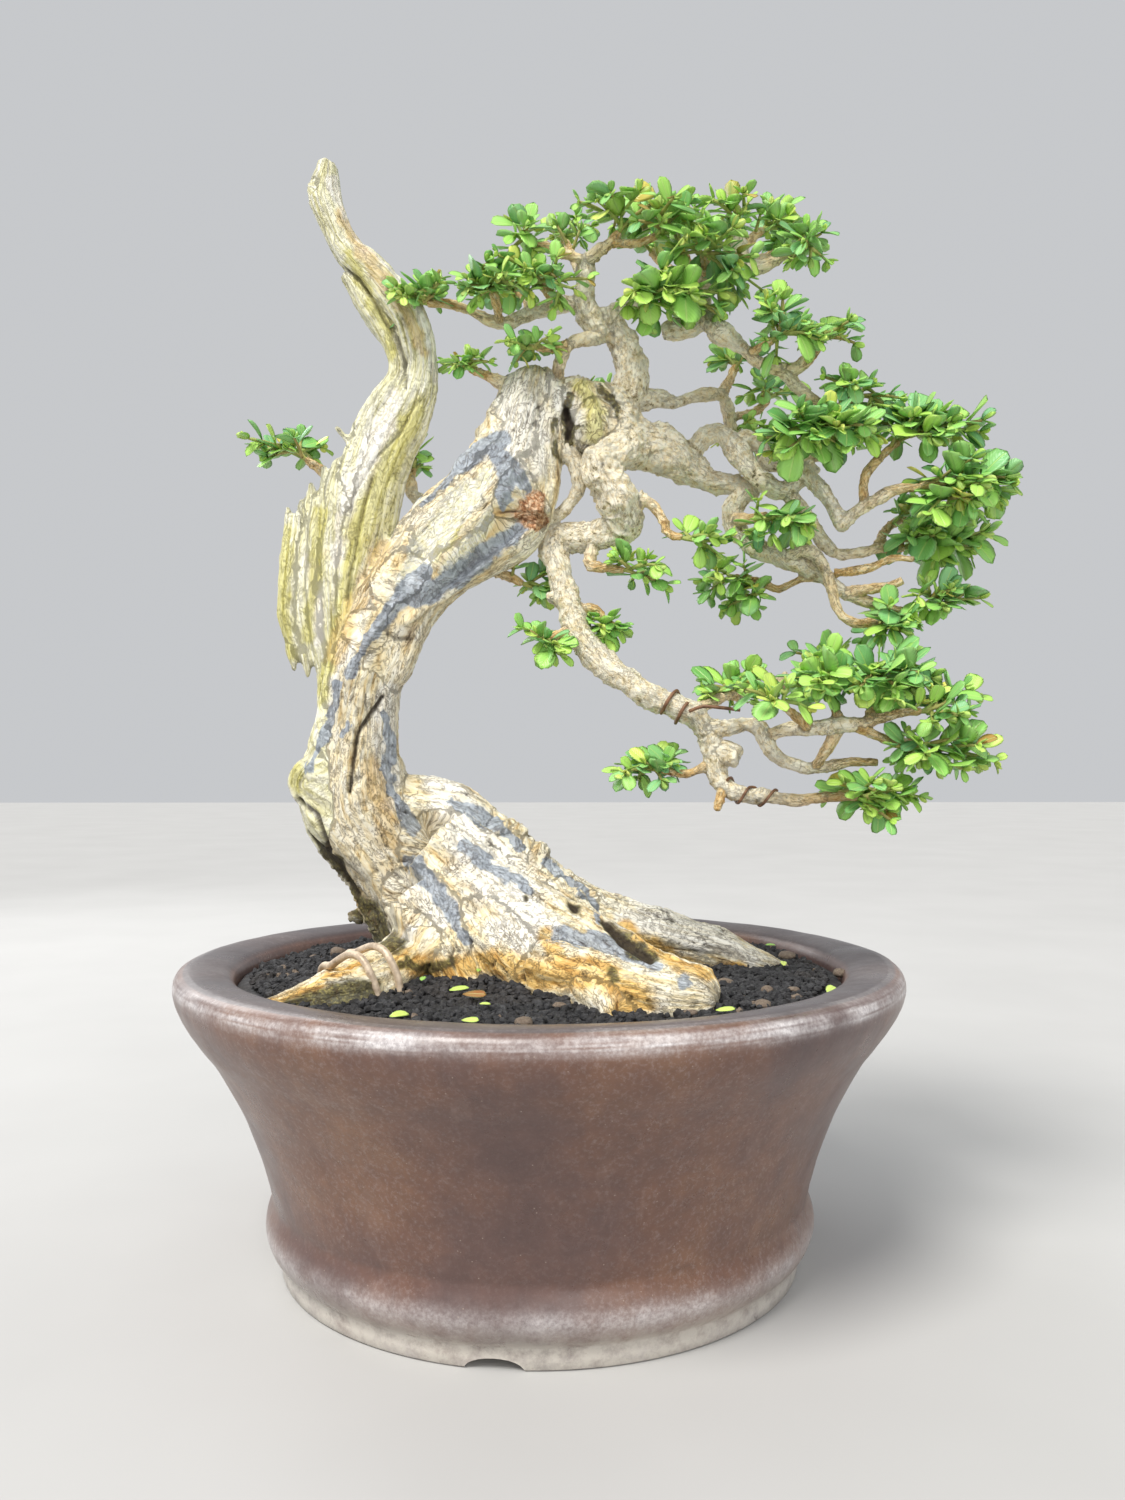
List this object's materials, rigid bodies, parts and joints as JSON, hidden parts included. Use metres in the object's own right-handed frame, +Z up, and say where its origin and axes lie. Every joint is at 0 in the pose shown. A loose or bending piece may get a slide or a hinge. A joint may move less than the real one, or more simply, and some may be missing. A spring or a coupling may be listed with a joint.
{
  "type": "potted bonsai tree",
  "caption": "Bonsai with a leaning trunk, bleached deadwood spike, exposed roots and layered leafy pads in a round flared clay pot.",
  "frame": {"origin": "middle of the base of the bounding box, on the surface that the pot's foot stands on", "axes": "+Z up; -Y is the front of the tree, +X the side its branches reach to"},
  "size_m": [0.3478, 0.3004, 0.4713],
  "materials": {
    "clay": "unglazed, low sheen",
    "plastic": "matt",
    "bark": "rough bark and deadwood",
    "grit": "rough granular",
    "root_wire_metal": "dull",
    "branch_wire_metal": "brown coated",
    "leaf": "fresh green, slightly glossy"
  },
  "bodies": {
    "root": {"branch_wire": "branch_wire_metal", "drain_mesh": "plastic", "pot": "clay", "root_wire_1": "root_wire_metal", "root_wire_2": "root_wire_metal", "soil": "grit", "spray_apex_right": "leaf", "spray_arch_leaf": "leaf", "spray_back_a": "leaf", "spray_back_arm": "leaf", "spray_back_b": "leaf", "spray_between": "leaf", "spray_crown_a": "leaf", "spray_crown_c": "leaf", "spray_crown_d": "leaf", "spray_crown_e": "leaf", "spray_crown_f": "leaf", "spray_crown_g": "leaf", "spray_crown_h": "leaf", "spray_crown_j": "leaf", "spray_crown_l": "leaf", "spray_crown_m": "leaf", "spray_crown_n": "leaf", "spray_elbow_twig": "leaf", "spray_far_left": "leaf", "spray_grey_arm": "leaf", "spray_grey_left": "leaf", "spray_grey_loop": "leaf", "spray_grey_nub": "leaf", "spray_hanging_a": "leaf", "spray_hanging_right": "leaf", "spray_knob_arm": "leaf", "spray_knob_front": "leaf", "spray_knob_twig": "leaf", "spray_left_a": "leaf", "spray_left_arm": "leaf", "spray_left_b": "leaf", "spray_left_c": "leaf", "spray_long_arm": "leaf", "spray_long_back": "leaf", "spray_low_a": "leaf", "spray_low_b": "leaf", "spray_low_brown": "leaf", "spray_low_d": "leaf", "spray_low_f": "leaf", "spray_low_i": "leaf", "spray_low_keel": "leaf", "spray_low_left": "leaf", "spray_low_spur": "leaf", "spray_rear_branch": "leaf", "spray_rough_arm": "leaf", "spray_small_a": "leaf", "spray_small_b": "leaf", "spray_small_c": "leaf", "spray_small_d": "leaf", "spray_small_e": "leaf", "spray_stubby_arm": "leaf", "spray_white_elbow": "leaf", "wood": "bark"}
  },
  "joints": []
}
